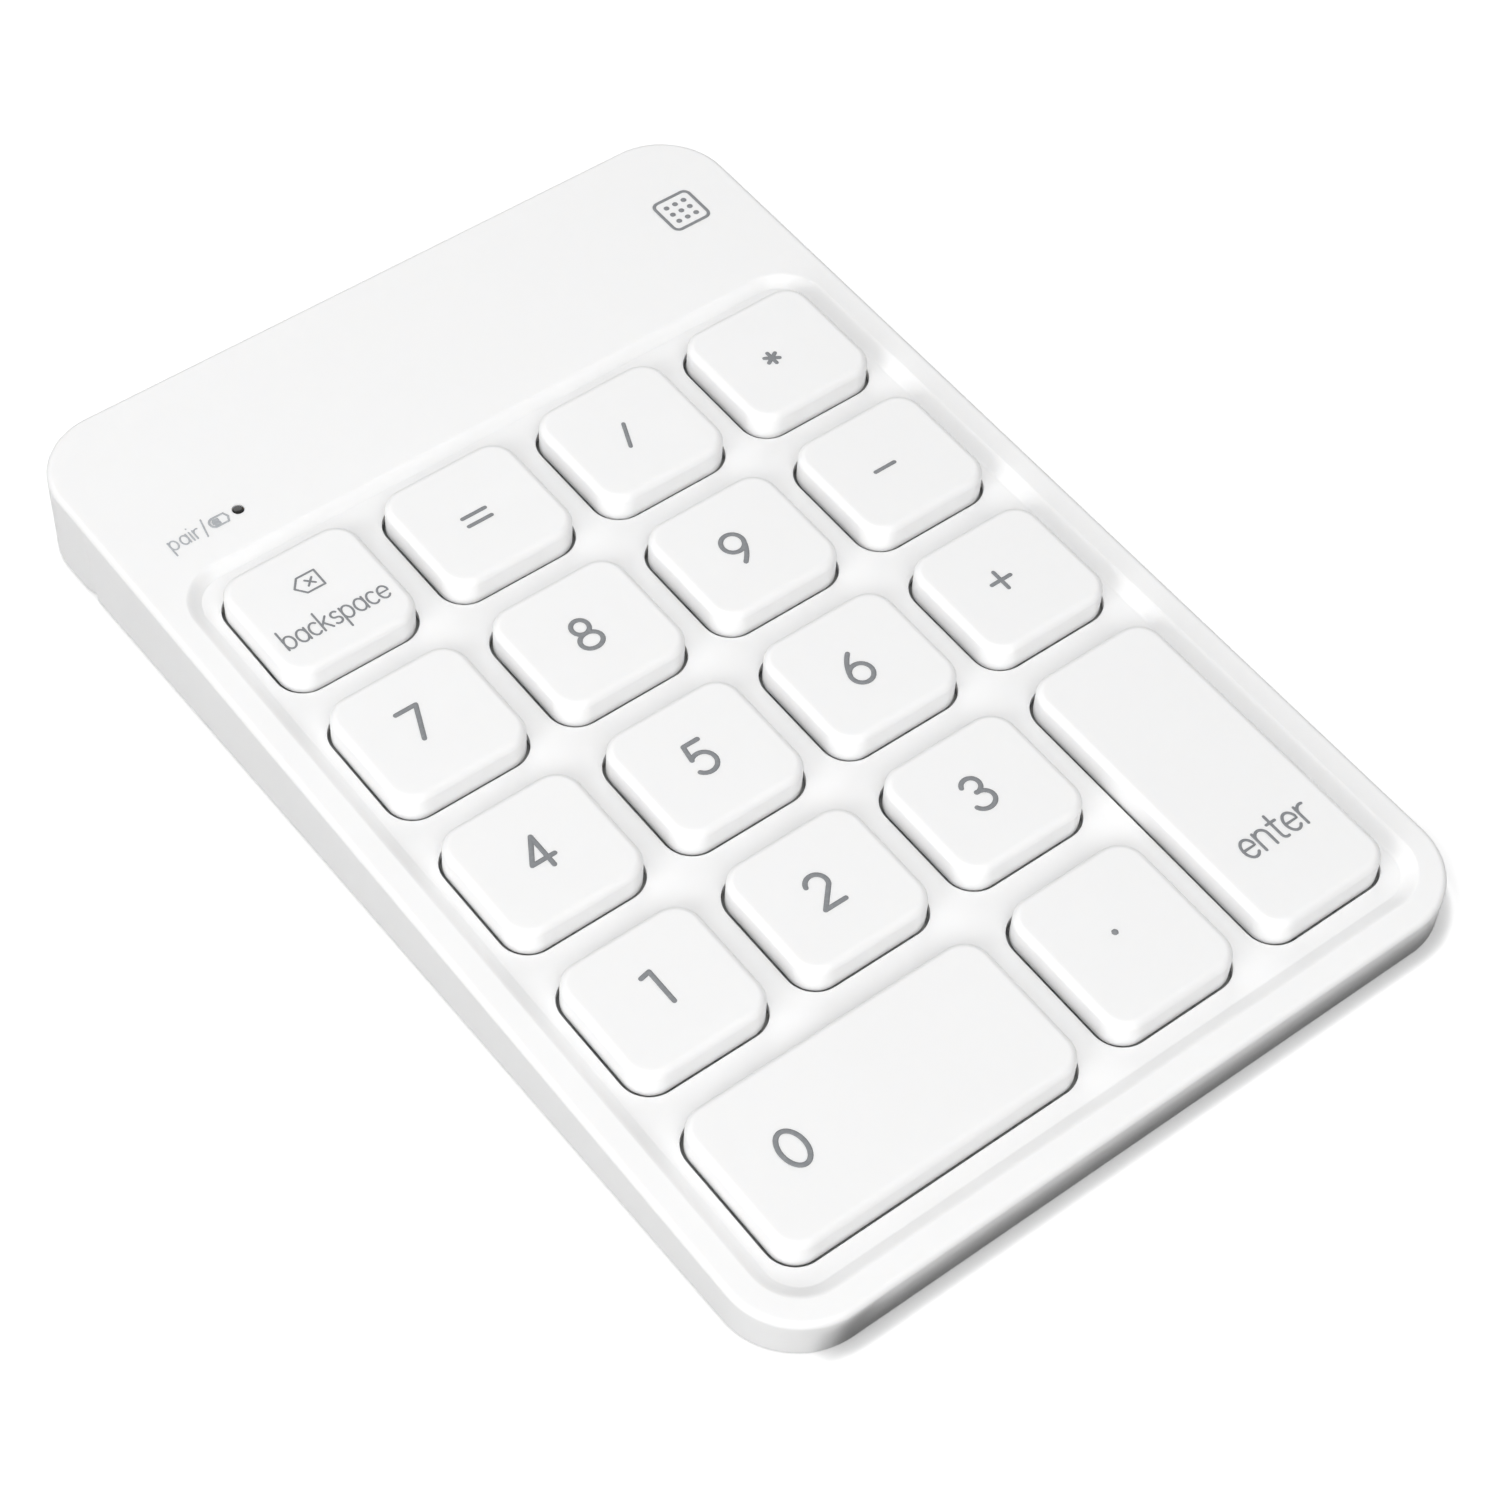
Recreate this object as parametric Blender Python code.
"""Slim wireless number pad: wedge case, eighteen sprung keys and the electronics behind them."""
import math

import bmesh
import bpy

MM = 0.001

# Case
CASE_W = 84.0
CASE_L = 126.6
CASE_CORNER = 8.0
CASE_WALL = 1.6
RIM_Z = 1.0
RIM_ROUND = 0.95
CEILING_Z = -1.0
FRONT_UNDERSIDE_Z = -3.8
WEDGE_DEG = 2.78
FOOT_PROUD = 0.5
COVER_THICK = 0.9
COVER_GAP = 0.15

# Key field
COLUMN_PITCH = 19.0
ROW_PITCH = 18.77
FIRST_ROW_Y = 28.1
KEY_W = 15.4
KEY_D = 14.6
LAST_ROW_D = 17.0
LAST_ROW_FRONT_Y = -56.75
KEY_CORNER = 2.8
KEY_TOP_Z = 2.9
KEY_ROUND = 0.8
KEY_SKIRT_Z = -0.35
KEY_WALL = 1.0
KEY_TRAVEL = 1.6
APERTURE_GAP = 0.43

# Shallow well round the keys
WELL_FLOOR_W = 75.2
WELL_FLOOR_FRONT_Y = -58.9
WELL_FLOOR_REAR_Y = 38.0
WELL_SLOPE = 1.7
WELL_SLOPE_REAR = 1.2
WELL_CORNER = 3.6

# Stack under the keys
PLATE_Z = (-3.0, -2.6)
MEMBRANE_Z = (-2.5, -2.3)
DOME_BASE_Z = -2.2
DOME_TOP_Z = 0.15
PLATE_W = 77.0
PLATE_FRONT_Y = -58.2
PLATE_REAR_Y = 37.8
WIRE_R = 0.4
WIRE_PIVOT_Z = -1.85
WIRE_RISE = 3.0
WIRE_RUN = 4.0
WIRE_HALF_SPAN = 12.0
LUG_OFFSET = 10.7

# Electronics bay
BOARD = (60.0, 18.6, 1.0)
BOARD_CENTRE = (-2.0, 50.6, -3.1)
LED_XY = (-28.0, 43.7)
SOCKET_X = 6.0
SWITCH_X = 20.0
SWITCH_TRAVEL = 2.0
BUTTON_XY = (11.0, 46.0)
REAR_FACE_Y = CASE_L / 2
PORT_Z = -5.4

# Fixings: x, y, and the level the boss stops at
SCREWS = ((-36.4, 56.8, -8.5), (36.4, 56.8, -8.5), (0.0, 18.7, -6.55), (0.0, -18.83, -4.75))
BOSS_R = 2.2
BOARD_POSTS = ((-29.6, 57.6), (25.6, 57.6), (25.6, 43.6))
FOOT = (14.0, 5.0, 0.9)
FOOT_RECESS = 0.45
FEET = {
    "foot_front_left": (-28.0, -55.5),
    "foot_front_right": (28.0, -55.5),
    "foot_rear_left": (-26.0, 57.5),
    "foot_rear_right": (26.0, 57.5),
}

KNOB_PROUD = 0.6
KNOB_HEIGHT = 1.6

# Deck to desk: the deck is tilted about X and lifted until the feet stand on z = 0
WEDGE_TAN = math.tan(math.radians(WEDGE_DEG))
WEDGE_COS = math.cos(math.radians(WEDGE_DEG))
WEDGE_SIN = math.sin(math.radians(WEDGE_DEG))
DECK_Z = (FOOT_PROUD - FRONT_UNDERSIDE_Z + WEDGE_TAN * CASE_L / 2) * WEDGE_COS
FRONT_REACH = CASE_L / 2 * WEDGE_COS + (RIM_Z - RIM_ROUND) * WEDGE_SIN
REAR_REACH = (REAR_FACE_Y + KNOB_PROUD) * WEDGE_COS - (PORT_Z - KNOB_HEIGHT / 2) * WEDGE_SIN
DECK_Y = (FRONT_REACH - REAR_REACH) / 2


def underside(y):
    """Deck height of the sloping underside at a distance y from the middle."""
    return FRONT_UNDERSIDE_Z - WEDGE_TAN * (y + CASE_L / 2)


def key_layout():
    """Name, centre x, centre y, width and depth of every key."""
    columns = [COLUMN_PITCH * (i - 1.5) for i in range(4)]
    rows = [FIRST_ROW_Y - ROW_PITCH * i for i in range(4)]
    last_y = LAST_ROW_FRONT_Y + LAST_ROW_D / 2
    names = (("backspace", "equals", "divide", "multiply"), ("7", "8", "9", "minus"),
             ("4", "5", "6", "plus"), ("1", "2", "3"))
    keys = []
    for y, row in zip(rows, names):
        for x, name in zip(columns, row):
            keys.append((name, x, y, KEY_W, KEY_D))
    keys.append(("0", (columns[0] + columns[1]) / 2, last_y, COLUMN_PITCH + KEY_W, LAST_ROW_D))
    keys.append(("point", columns[2], last_y, KEY_W, LAST_ROW_D))
    enter_rear = rows[3] + KEY_D / 2
    keys.append(("enter", columns[3], (enter_rear + LAST_ROW_FRONT_Y) / 2, KEY_W, enter_rear - LAST_ROW_FRONT_Y))
    return keys


def clear_scene():
    for obj in list(bpy.data.objects):
        bpy.data.objects.remove(obj, do_unlink=True)


def make_material(name, colour, roughness, metallic=0.0):
    mat = bpy.data.materials.new(name)
    mat.use_nodes = True
    shader = mat.node_tree.nodes["Principled BSDF"]
    shader.inputs["Base Color"].default_value = (*colour, 1.0)
    shader.inputs["Roughness"].default_value = roughness
    shader.inputs["Metallic"].default_value = metallic
    return mat


def rounded(width, depth, radius, steps, centre=(0.0, 0.0)):
    """Plan of a rounded rectangle, anticlockwise."""
    points = []
    for quarter in range(4):
        side_x = 1 if quarter in (0, 3) else -1
        side_y = 1 if quarter in (0, 1) else -1
        for k in range(steps + 1):
            angle = math.pi / 2 * (quarter + k / steps)
            x = centre[0] + side_x * (width / 2 - radius) + radius * math.cos(angle)
            y = centre[1] + side_y * (depth / 2 - radius) + radius * math.sin(angle)
            points.append((x, y))
    return points


def circle(radius, sides, centre=(0.0, 0.0)):
    turn = 2 * math.pi / sides
    return [(centre[0] + radius * math.cos(turn * k), centre[1] + radius * math.sin(turn * k)) for k in range(sides)]


def level(points, z):
    """A plan lifted to a height, or onto a slope given as a function of y."""
    return [(x, y, z(y) if callable(z) else z) for x, y in points]


def upright(points, y):
    """A plan turned to stand across the Y axis."""
    return [(x, y, z) for x, z in points]


def sideways(points, x):
    """A plan turned to stand across the X axis."""
    return [(x, y, z) for y, z in points]


def add_loft(bm, rings):
    """Skin one closed body over a run of matching rings."""
    loops = [[bm.verts.new([c * MM for c in point]) for point in ring] for ring in rings]
    count = len(loops[0])
    for lower, upper in zip(loops, loops[1:]):
        for i in range(count):
            j = (i + 1) % count
            bm.faces.new((lower[i], lower[j], upper[j], upper[i]))
    bm.faces.new(list(reversed(loops[0])))
    bm.faces.new(loops[-1])


def build(name, bodies, material=None, parent=None, origin=(0.0, 0.0, 0.0)):
    """Make one object from lofted bodies, with its origin moved to the given deck point."""
    bm = bmesh.new()
    for rings in bodies:
        add_loft(bm, rings)
    bmesh.ops.recalc_face_normals(bm, faces=bm.faces)
    shift = [-c * MM for c in origin]
    bmesh.ops.translate(bm, verts=bm.verts, vec=shift)
    mesh = bpy.data.meshes.new(name)
    bm.to_mesh(mesh)
    bm.free()
    mesh.shade_smooth()
    mesh.set_sharp_from_angle(angle=math.radians(32))
    obj = bpy.data.objects.new(name, mesh)
    obj.location = [c * MM for c in origin]
    obj.parent = parent
    bpy.context.scene.collection.objects.link(obj)
    if material:
        mesh.materials.append(material)
    return obj


def combine(target, tool, operation="DIFFERENCE"):
    """Join or cut with a guide object that stays out of the result."""
    modifier = target.modifiers.new(tool.name, "BOOLEAN")
    modifier.operation = operation
    modifier.solver = "EXACT"
    modifier.object = tool
    tool.hide_render = True
    tool.display_type = "WIRE"


def block(size, centre, radius=0.0, steps=1):
    """Rings of an upright block, square or with rounded vertical edges."""
    z0 = centre[2] - size[2] / 2
    z1 = centre[2] + size[2] / 2
    plan = rounded(size[0], size[1], radius or 0.05, steps, centre[:2])
    return [level(plan, z0), level(plan, z1)]


def post(radius, x, y, z0, z1, sides=16):
    plan = circle(radius, sides, (x, y))
    return [level(plan, z0), level(plan, z1)]


def well_rings():
    """Rings of the shallow well, flat floor first, then its soft slope to the rim."""
    rings = []
    for share, height in ((0.0, 0.0), (0.3, 0.12), (0.55, 0.4), (0.8, 0.82), (1.0, 1.0), (1.0, 3.0)):
        out = WELL_SLOPE * share
        rear = WELL_FLOOR_REAR_Y + WELL_SLOPE_REAR * share
        front = WELL_FLOOR_FRONT_Y - out
        plan = rounded(WELL_FLOOR_W + 2 * out, rear - front, WELL_CORNER + out, 6, (0.0, (rear + front) / 2))
        rings.append(level(plan, RIM_Z * height))
    return rings


def side_relief(side):
    """Cutter for the slanted relief in a side wall: a facet turned forwards, then a step back out."""
    rings = []
    for z, rear_y, front_y, depth in ((-12.0, 51.3, 49.0, 0.62), (0.0, 51.9, 50.8, 0.34)):
        reach = 0.4
        slope = (rear_y - front_y) / depth
        face = CASE_W / 2
        plan = [(side * (face + reach), rear_y + reach * slope), (side * (face - depth), front_y),
                (side * (face + reach), front_y)]
        rings.append(level(plan, z))
    return rings


def make_top_case(parent, material):
    plan_sizes = [(0.0, underside)]
    for k in range(5):
        angle = math.radians(90 * k / 4)
        plan_sizes.append((RIM_ROUND * (1 - math.cos(angle)), RIM_Z - RIM_ROUND + RIM_ROUND * math.sin(angle)))
    rings = [level(rounded(CASE_W - 2 * d, CASE_L - 2 * d, CASE_CORNER - d, 8), z) for d, z in plan_sizes]
    case = build("top_case", [rings], material, parent)

    inner = rounded(CASE_W - 2 * CASE_WALL, CASE_L - 2 * CASE_WALL, CASE_CORNER - CASE_WALL, 6)
    cavity = build("cut_case_cavity", [[level(inner, -14.0), level(inner, CEILING_Z)]], None, parent)
    combine(case, cavity)

    columns = [post(BOSS_R, x, y, z, CEILING_Z + 0.4) for x, y, z in SCREWS]
    post_foot_z = BOARD_CENTRE[2] + BOARD[2] / 2 + 0.15
    columns += [post(1.2, x, y, post_foot_z, CEILING_Z + 0.4, 10) for x, y in BOARD_POSTS]
    combine(case, build("join_case_bosses", columns, None, parent), "UNION")

    combine(case, build("cut_case_well", [well_rings()], None, parent))

    holes = []
    for name, x, y, width, depth in key_layout():
        plan = rounded(width + 2 * APERTURE_GAP, depth + 2 * APERTURE_GAP, KEY_CORNER + APERTURE_GAP, 5, (x, y))
        holes.append([level(plan, CEILING_Z - 0.5), level(plan, 0.6)])
    combine(case, build("cut_case_apertures", holes, None, parent))

    bores = [post(0.95, x, y, z - 1.0, z + 3.6, 10) for x, y, z in SCREWS]
    bores.append(post(0.65, *LED_XY, CEILING_Z - 0.5, RIM_Z + 0.5, 14))
    combine(case, build("cut_case_bores", bores, None, parent))

    mouth = rounded(9.5, 3.7, 1.7, 4, (SOCKET_X, PORT_Z))
    slot = rounded(5.4, 2.2, 0.5, 3, (SWITCH_X, PORT_Z))
    rear = [[upright(plan, REAR_FACE_Y - 3.0), upright(plan, REAR_FACE_Y + 1.0)] for plan in (mouth, slot)]
    combine(case, build("cut_case_rear_ports", rear, None, parent))

    combine(case, build("cut_case_side_reliefs", [side_relief(-1), side_relief(1)], None, parent))
    return case


def make_bottom_cover(parent, material):
    inset = CASE_WALL + COVER_GAP
    plan = rounded(CASE_W - 2 * inset, CASE_L - 2 * inset, CASE_CORNER - inset, 6)
    cover = build("bottom_cover", [[level(plan, underside), level(plan, lambda y: underside(y) + COVER_THICK)]],
                  material, parent)

    ribs = []
    for x in (-18.0, 18.0):
        plan = rounded(1.0, 84.0, 0.05, 1, (x, -7.0))
        ribs.append([level(plan, lambda y: underside(y) + COVER_THICK / 2), level(plan, PLATE_Z[0] - 0.15)])
    combine(cover, build("join_cover_ribs", ribs, None, parent), "UNION")

    pockets = []
    for x, y in FEET.values():
        plan = rounded(FOOT[0] + 0.3, FOOT[1] + 0.3, FOOT[1] / 2 + 0.1, 5, (x, y))
        pockets.append([level(plan, lambda y: underside(y) - 1.0), level(plan, lambda y: underside(y) + FOOT_RECESS)])
    for x, y, z in SCREWS:
        pockets.append(post(2.0, x, y, underside(y) - 1.0, underside(y) + 0.68))
    combine(cover, build("cut_cover_pockets", pockets, None, parent))

    holes = [post(1.0, x, y, underside(y) - 0.5, underside(y) + COVER_THICK + 0.5, 12) for x, y, z in SCREWS]
    x, y = BUTTON_XY
    holes.append(post(1.9, x, y, underside(y) - 0.5, underside(y) + COVER_THICK + 0.5))
    combine(cover, build("cut_cover_holes", holes, None, parent))
    return cover


def make_key(parent, material, key):
    """A shell cap with a rounded top edge and a square pusher under its middle."""
    name, x, y, width, depth = key
    centre = (x, y)
    steps = 4
    inner = rounded(width - 2 * KEY_WALL, depth - 2 * KEY_WALL, KEY_CORNER - KEY_WALL, steps, centre)
    outer = rounded(width, depth, KEY_CORNER, steps, centre)
    pusher = rounded(4.0, 4.0, 1.6, steps, centre)
    under_top = KEY_TOP_Z - KEY_WALL
    rings = [level(pusher, DOME_TOP_Z + 0.2), level(pusher, under_top), level(inner, under_top),
             level(inner, KEY_SKIRT_Z), level(outer, KEY_SKIRT_Z), level(outer, KEY_TOP_Z - KEY_ROUND)]
    for degrees in (50, 90):
        angle = math.radians(degrees)
        inset = KEY_ROUND * (1 - math.cos(angle))
        height = KEY_TOP_Z - KEY_ROUND * (1 - math.sin(angle))
        rings.append(level(rounded(width - 2 * inset, depth - 2 * inset, KEY_CORNER - inset, steps, centre), height))
    return build("key_" + name, [rings], material, parent, (x, y, 0.0))


def make_dome(parent, material, key):
    """A hollow rubber dome open underneath."""
    name, x, y, width, depth = key
    profile = ((1.3, DOME_TOP_Z - 0.45), (2.75, DOME_BASE_Z), (3.6, DOME_BASE_Z), (3.6, DOME_BASE_Z + 0.22),
               (3.15, DOME_BASE_Z + 0.3), (1.95, DOME_TOP_Z - 0.12), (1.8, DOME_TOP_Z))
    rings = [level(circle(radius, 12, (x, y)), z) for radius, z in profile]
    return build("dome_" + name, [rings], material, parent, (x, y, DOME_BASE_Z))


def stabiliser_frames():
    """Key, run direction and pivot of each wire: 0 along X, enter along Y."""
    frames = {}
    for name, x, y, width, depth in key_layout():
        if name == "0":
            frames[name] = (x, y + 1.0, "X")
        if name == "enter":
            frames[name] = (x + 1.0, y, "Y")
    return frames


def make_stabiliser(parent, material, name, frame):
    """A bent wire: pivot stub, leg, long bar, leg, pivot stub, swept with a hexagon."""
    px, py, along = frame
    stub = LUG_OFFSET - 0.9
    path = [(stub, 0.0, 0.0), (WIRE_HALF_SPAN, 0.0, 0.0), (WIRE_HALF_SPAN, WIRE_RUN, WIRE_RISE),
            (-WIRE_HALF_SPAN, WIRE_RUN, WIRE_RISE), (-WIRE_HALF_SPAN, 0.0, 0.0), (-stub, 0.0, 0.0)]
    leg = math.hypot(WIRE_RUN, WIRE_RISE)
    lean = (0.0, WIRE_RUN / leg, WIRE_RISE / leg)
    across = (0.0, -WIRE_RISE / leg, WIRE_RUN / leg)
    # Each corner's ring is mitred between its two runs, in the plane of the wire.
    turns = ((0, 1), (-1, 1), (-1, -1), (1, -1), (1, 1), (0, 1))
    mitres = [(run, rise * lean[1], rise * lean[2]) for run, rise in turns]
    rings = []
    for point, mitre in zip(path, mitres):
        ring = []
        for k in range(6):
            angle = 2 * math.pi * (k + 0.5) / 6
            a = WIRE_R * math.cos(angle)
            b = WIRE_R * math.sin(angle)
            u, v, w = (p + a * m + b * n for p, m, n in zip(point, mitre, across))
            if along == "X":
                ring.append((px + u, py + v, WIRE_PIVOT_Z + w))
            else:
                ring.append((px + v, py + u, WIRE_PIVOT_Z + w))
        rings.append(ring)
    return build("stabiliser_" + name, [rings], material, parent, (px, py, WIRE_PIVOT_Z))


def lug_places():
    """Centre, and axis of the bore, of every wire lug on the support plate."""
    places = []
    for px, py, along in stabiliser_frames().values():
        for side in (-1, 1):
            shift = side * LUG_OFFSET
            places.append((px + shift, py, along) if along == "X" else (px, py + shift, along))
    return places


def make_support_plate(parent, material):
    middle = (0.0, (PLATE_FRONT_Y + PLATE_REAR_Y) / 2)
    plan = rounded(PLATE_W, PLATE_REAR_Y - PLATE_FRONT_Y, 4.0, 4, middle)
    plate = build("support_plate", [[level(plan, z) for z in PLATE_Z]], material, parent)
    lugs = []
    bores = [post(BOSS_R + 0.4, x, y, -4.0, -2.0) for x, y, z in SCREWS[2:]]
    for x, y, along in lug_places():
        size = (0.9, 2.0) if along == "X" else (2.0, 0.9)
        top = WIRE_PIVOT_Z + 0.95
        lugs.append([level(rounded(*size, 0.05, 1, (x, y)), z) for z in (PLATE_Z[1] - 0.2, top)])
        if along == "X":
            hole = circle(WIRE_R + 0.15, 8, (y, WIRE_PIVOT_Z))
            bores.append([sideways(hole, x - 1.5), sideways(hole, x + 1.5)])
        else:
            hole = circle(WIRE_R + 0.15, 8, (x, WIRE_PIVOT_Z))
            bores.append([upright(hole, y - 1.5), upright(hole, y + 1.5)])
    combine(plate, build("join_plate_lugs", lugs, None, parent), "UNION")
    combine(plate, build("cut_plate_holes", bores, None, parent))
    return plate


def make_membrane(parent, material):
    middle = (0.0, (PLATE_FRONT_Y + PLATE_REAR_Y) / 2)
    plan = rounded(PLATE_W - 1.0, PLATE_REAR_Y - PLATE_FRONT_Y - 1.0, 3.6, 4, middle)
    sheet = build("membrane", [[level(plan, z) for z in MEMBRANE_Z]], material, parent)
    holes = [post(BOSS_R + 0.6, x, y, -4.0, -2.0) for x, y, z in SCREWS[2:]]
    for x, y, along in lug_places():
        size = (1.7, 2.8) if along == "X" else (2.8, 1.7)
        holes.append([level(rounded(*size, 0.3, 2, (x, y)), z) for z in (-4.0, -2.0)])
    combine(sheet, build("cut_membrane_holes", holes, None, parent))
    return sheet


def make_electronics(parent, mats):
    x, y, z = BOARD_CENTRE
    build("circuit_board", [block(BOARD, BOARD_CENTRE, 1.0, 3)], mats["board"], parent)
    board_top = z + BOARD[2] / 2
    board_under = z - BOARD[2] / 2
    build("radio_shield", [block((12.0, 10.0, 1.2), (13.0, 49.5, board_top + 0.7), 0.4, 2)], mats["tin"], parent)
    build("status_led", [block((1.6, 0.9, 0.5), (*LED_XY, board_top + 0.35))], mats["led"], parent)
    pipe = ((1.15, board_top + 0.7), (1.15, CEILING_Z - 0.12), (0.52, CEILING_Z - 0.1), (0.52, RIM_Z - 0.03))
    build("light_pipe", [[level(circle(r, 14, LED_XY), h) for r, h in pipe]], mats["lens"], parent)
    cell = (27.0, 16.0, 3.3)
    build("battery_cell", [block(cell, (-19.0, 50.3, board_under - 0.2 - cell[2] / 2), 1.2, 3)], mats["foil"], parent)

    def across(width, height, radius, depth_y, centre_x):
        return upright(rounded(width, height, radius, 4, (centre_x, PORT_Z)), depth_y)

    mouth = REAR_FACE_Y - 0.4
    back = mouth - 7.2
    socket = [across(6.7, 0.7, 0.2, mouth - 0.9, SOCKET_X), across(6.7, 0.7, 0.2, back + 0.6, SOCKET_X),
              across(8.3, 2.5, 1.15, back + 0.6, SOCKET_X), across(8.3, 2.5, 1.15, mouth, SOCKET_X),
              across(8.9, 3.1, 1.45, mouth, SOCKET_X), across(8.9, 3.1, 1.45, back, SOCKET_X)]
    build("charging_socket", [socket], mats["steel"], parent)

    face = REAR_FACE_Y - CASE_WALL - 0.25
    body = [across(4.4, 1.2, 0.2, face - 1.6, SWITCH_X), across(4.4, 1.2, 0.2, face, SWITCH_X),
            across(7.0, 3.0, 0.3, face, SWITCH_X), across(7.0, 3.0, 0.3, face - 3.6, SWITCH_X)]
    build("power_switch_body", [body], mats["black"], parent)
    off_x = SWITCH_X - SWITCH_TRAVEL / 2
    knob = [across(1.6, 0.8, 0.15, face - 1.3, off_x), across(1.6, 0.8, 0.15, face + 0.15, off_x),
            across(2.6, KNOB_HEIGHT, 0.3, face + 0.15, off_x),
            across(2.6, KNOB_HEIGHT, 0.3, REAR_FACE_Y + KNOB_PROUD, off_x)]
    build("power_switch_knob", [knob], mats["black"], parent, (off_x, REAR_FACE_Y, PORT_Z))

    bx, by = BUTTON_XY
    tact_low = board_under - 0.1 - 1.5
    build("pair_switch", [block((4.6, 4.6, 1.5), (bx, by, board_under - 0.1 - 0.75), 0.3, 2)], mats["black"], parent)
    floor_z = underside(by)
    button = ((1.55, floor_z + 0.2), (1.55, floor_z + COVER_THICK + 0.2), (2.6, floor_z + COVER_THICK + 0.2),
              (2.6, floor_z + COVER_THICK + 0.9), (1.2, floor_z + COVER_THICK + 0.9), (1.2, tact_low - 0.4))
    build("pair_button", [[level(circle(r, 14, BUTTON_XY), h) for r, h in button]], mats["case"], parent,
          (bx, by, floor_z))


def cross_plan(reach, half, centre):
    """Plan of a plus sign for the driver recess."""
    corners = ((half, half), (half, reach), (-half, reach), (-half, half), (-reach, half), (-reach, -half),
               (-half, -half), (-half, -reach), (half, -reach), (half, -half), (reach, -half), (reach, half))
    return [(centre[0] + x, centre[1] + y) for x, y in corners]


def make_screws(parent, material):
    for number, (x, y, boss_z) in enumerate(SCREWS, 1):
        head_z = underside(y) + 0.1
        profile = ((1.75, head_z), (1.75, head_z + 0.5), (0.8, head_z + 0.5), (0.8, boss_z + 3.2))
        name = "screw_%d" % number
        screw = build(name, [[level(circle(r, 14, (x, y)), h) for r, h in profile]], material, parent,
                      (x, y, head_z))
        plan = cross_plan(1.0, 0.22, (x, y))
        combine(screw, build("cut_" + name, [[level(plan, head_z - 1.0), level(plan, head_z + 0.3)]], None, parent))


def make_feet(parent, material):
    for name, (x, y) in FEET.items():
        plan = rounded(FOOT[0], FOOT[1], FOOT[1] / 2 - 0.05, 5, (x, y))
        rings = [level(plan, lambda v: underside(v) - FOOT_PROUD),
                 level(plan, lambda v: underside(v) + FOOT_RECESS - 0.05)]
        build(name, [rings], material, parent)


def main():
    clear_scene()
    deck = bpy.data.objects.new("deck", None)
    deck.location = (0.0, DECK_Y * MM, DECK_Z * MM)
    deck.rotation_euler = (math.radians(WEDGE_DEG), 0.0, 0.0)
    bpy.context.scene.collection.objects.link(deck)
    mats = {
        "case": make_material("case_plastic", (0.86, 0.86, 0.86), 0.38),
        "key": make_material("key_plastic", (0.84, 0.84, 0.84), 0.45),
        "rubber": make_material("dome_rubber", (0.72, 0.74, 0.76), 0.6),
        "foot": make_material("foot_rubber", (0.55, 0.56, 0.57), 0.8),
        "film": make_material("membrane_film", (0.62, 0.66, 0.62), 0.3),
        "steel": make_material("spring_steel", (0.55, 0.56, 0.58), 0.35, 1.0),
        "board": make_material("board_laminate", (0.03, 0.2, 0.09), 0.45),
        "tin": make_material("shield_tin", (0.68, 0.68, 0.66), 0.3, 1.0),
        "foil": make_material("cell_foil", (0.62, 0.63, 0.65), 0.4, 0.8),
        "black": make_material("switch_plastic", (0.03, 0.03, 0.035), 0.5),
        "led": make_material("led_resin", (0.85, 0.82, 0.6), 0.3),
        "lens": make_material("smoked_lens", (0.02, 0.02, 0.022), 0.2),
    }
    make_top_case(deck, mats["case"])
    make_bottom_cover(deck, mats["case"])
    for key in key_layout():
        make_key(deck, mats["key"], key)
        make_dome(deck, mats["rubber"], key)
    for name, frame in stabiliser_frames().items():
        make_stabiliser(deck, mats["steel"], name, frame)
    make_support_plate(deck, mats["steel"])
    make_membrane(deck, mats["film"])
    make_electronics(deck, mats)
    make_screws(deck, mats["steel"])
    make_feet(deck, mats["foot"])


main()
